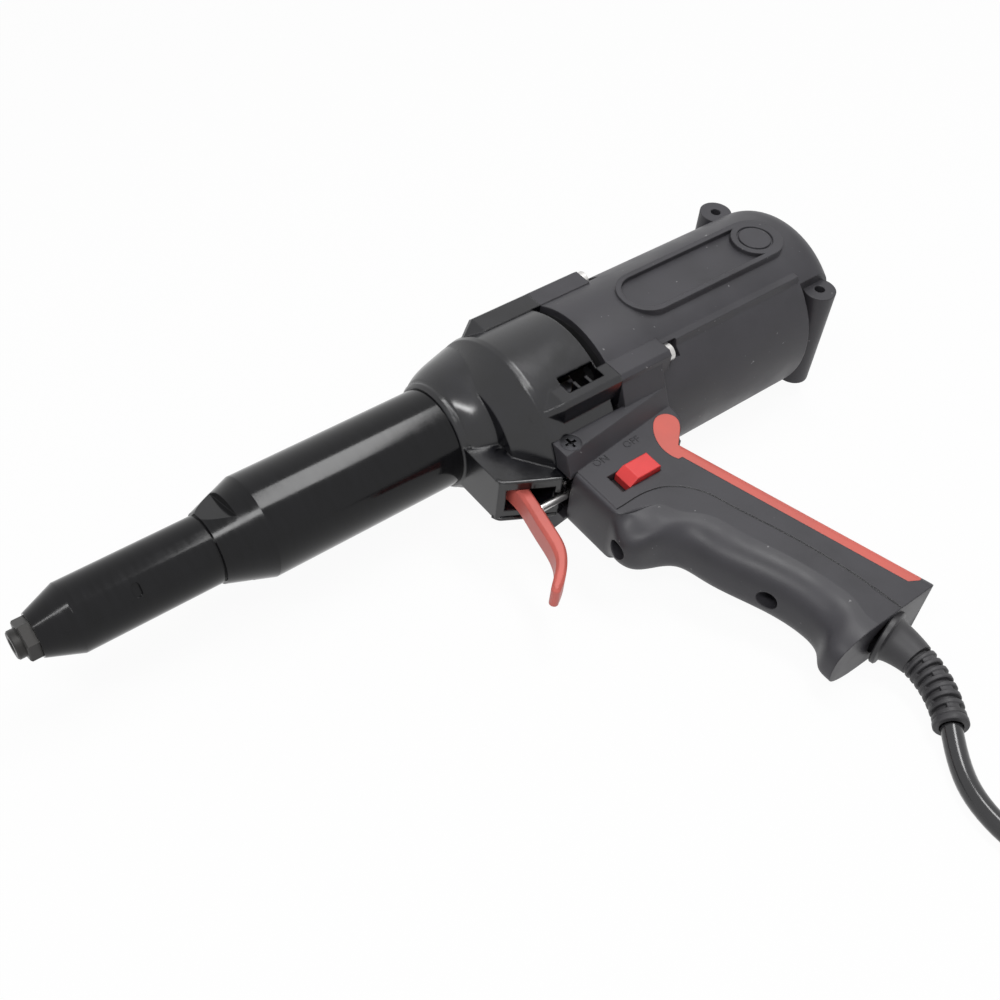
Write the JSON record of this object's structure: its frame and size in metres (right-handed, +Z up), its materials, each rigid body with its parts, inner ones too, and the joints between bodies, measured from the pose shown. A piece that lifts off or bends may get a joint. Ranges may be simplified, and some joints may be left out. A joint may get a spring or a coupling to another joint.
{
  "type": "electric blind riveter",
  "caption": "Corded pistol-grip blind riveter with a stepped black barrel, a motor-driven screw that pulls the jaws, a hinged trigger, a slide switch and a mains lead.",
  "frame": {"origin": "middle of the tool's box on the surface it lies on, the cord left out", "axes": "+X runs along the barrel from the nose to the motor, +Z is up from the surface towards the tool's left side, and -Y is the way the grip points"},
  "size_m": [0.398, 0.4337, 0.0737],
  "materials": {
    "nose_black": "blackened steel, satin",
    "barrel_black": "blackened and polished steel",
    "case_black": "gloss black enamel on a casting",
    "housing_grey": "fine-textured charcoal nylon",
    "trigger_red": "satin",
    "switch_red": "satin gloss",
    "strip_red": "soft matte overmould",
    "screw_steel": "zinc plated",
    "black_screw": "blackened",
    "inner_steel": "ground and oiled",
    "spring_steel": "drawn wire",
    "bearing_steel": "polished",
    "bronze": "machined",
    "brass": "stamped",
    "copper": "enamelled and bare copper",
    "laminations": "stacked sheet",
    "carbon": "pressed carbon",
    "black_plastic": "moulded",
    "boot_rubber": "satin",
    "cord_black": "gloss sheath",
    "tie_black": "satin",
    "plug_black": "satin",
    "pin_metal": "nickel plated"
  },
  "bodies": {
    "tool_body": {"nosepiece": "nose_black", "front_sleeve": "barrel_black", "main_barrel": "barrel_black", "nut_radial_bearing": "bearing_steel", "nut_thrust_bearing": "bearing_steel", "countershaft_bushes": "bronze", "gear_plate": "black_plastic", "motor_front_bearing": "bearing_steel", "motor_rear_bearing": "bearing_steel", "stator_core": "laminations", "field_coils": "copper", "brush_holders": "brass", "carbon_brushes": "carbon", "gearcase": "case_black", "trigger_pin": "case_black", "trigger_spring": "spring_steel", "trigger_switch": "black_plastic", "grip_strip": "strip_red", "handle_cover": "housing_grey", "motor_housing": "housing_grey", "lug_screws": "screw_steel", "side_screw": "black_screw", "cover_screws": "black_screw", "slide_switch_body": "black_plastic", "cord_clamp": "black_plastic", "clamp_screws": "screw_steel", "inner_cord": "cord_black", "cord_lead": "cord_black", "cord_coil": "cord_black", "coil_tie": "tie_black", "plug_body": "plug_black", "plug_pins": "pin_metal", "strain_relief": "boot_rubber"},
    "jaw_carriage": {"jaw_case": "inner_steel", "pull_rod": "inner_steel", "guide_block": "inner_steel", "draw_screw": "inner_steel", "pusher_spring": "spring_steel"},
    "jaw_set": {"jaws": "inner_steel", "jaw_pusher": "inner_steel"},
    "nut_group": {"drive_nut": "bronze", "output_gear": "inner_steel"},
    "countershaft_group": {"countershaft": "inner_steel", "countershaft_gear": "inner_steel"},
    "armature_group": {"armature_shaft": "inner_steel", "armature_core": "laminations", "armature_windings": "copper", "commutator": "copper", "cooling_fan": "black_plastic"},
    "trigger_lever": {"trigger": "trigger_red"},
    "plunger": {"switch_plunger": "screw_steel"},
    "switch_slider": {"slide_knob": "switch_red"}
  },
  "joints": [
    {"name": "motor_turn", "type": "hinge", "parent": "tool_body", "child": "armature_group", "pos_m": [0.0494, 0.0529, 0.0358], "axis": [1, 0, 0], "range_deg": [0, 25920]},
    {"name": "countershaft_turn", "type": "hinge", "parent": "tool_body", "child": "countershaft_group", "pos_m": [0.0494, 0.04877, 0.01944], "axis": [1, 0, 0], "range_deg": [-6480, 0]},
    {"name": "nut_turn", "type": "hinge", "parent": "tool_body", "child": "nut_group", "pos_m": [0.0494, 0.06237, 0.03736], "axis": [1, 0, 0], "range_deg": [0, 1620]},
    {"name": "draw_stroke", "type": "slide", "parent": "tool_body", "child": "jaw_carriage", "axis": [1, 0, 0], "range_m": [0, 0.018]},
    {"name": "jaw_open", "type": "slide", "parent": "jaw_carriage", "child": "jaw_set", "axis": [1, 0, 0], "range_m": [0, 0.002], "stiffness_N_per_m": 800, "springref_m": -0.003, "deforming": ["pusher_spring"]},
    {"name": "trigger_pull", "type": "hinge", "parent": "tool_body", "child": "trigger_lever", "pos_m": [0.0048, 0.03603, 0.03302], "axis": [0, -0.1625, 0.9867], "range_deg": [0, 12], "stiffness_Nm_per_rad": 0.3, "springref_deg": -8.59},
    {"name": "plunger_push", "type": "slide", "parent": "tool_body", "child": "plunger", "axis": [1, 0, 0], "range_m": [0, 0.0045], "deforming": ["trigger_spring"]},
    {"name": "switch_slide", "type": "slide", "parent": "tool_body", "child": "switch_slider", "axis": [-1, 0, 0], "range_m": [0, 0.0035]}
  ],
  "couplings": [
    {"joint": "countershaft_turn", "follows": "motor_turn", "ratio": -0.25},
    {"joint": "nut_turn", "follows": "motor_turn", "ratio": 0.0625},
    {"joint": "draw_stroke", "follows": "motor_turn", "m_per_rad": 0.000039789},
    {"joint": "plunger_push", "follows": "trigger_pull", "m_per_rad": 0.0214}
  ]
}
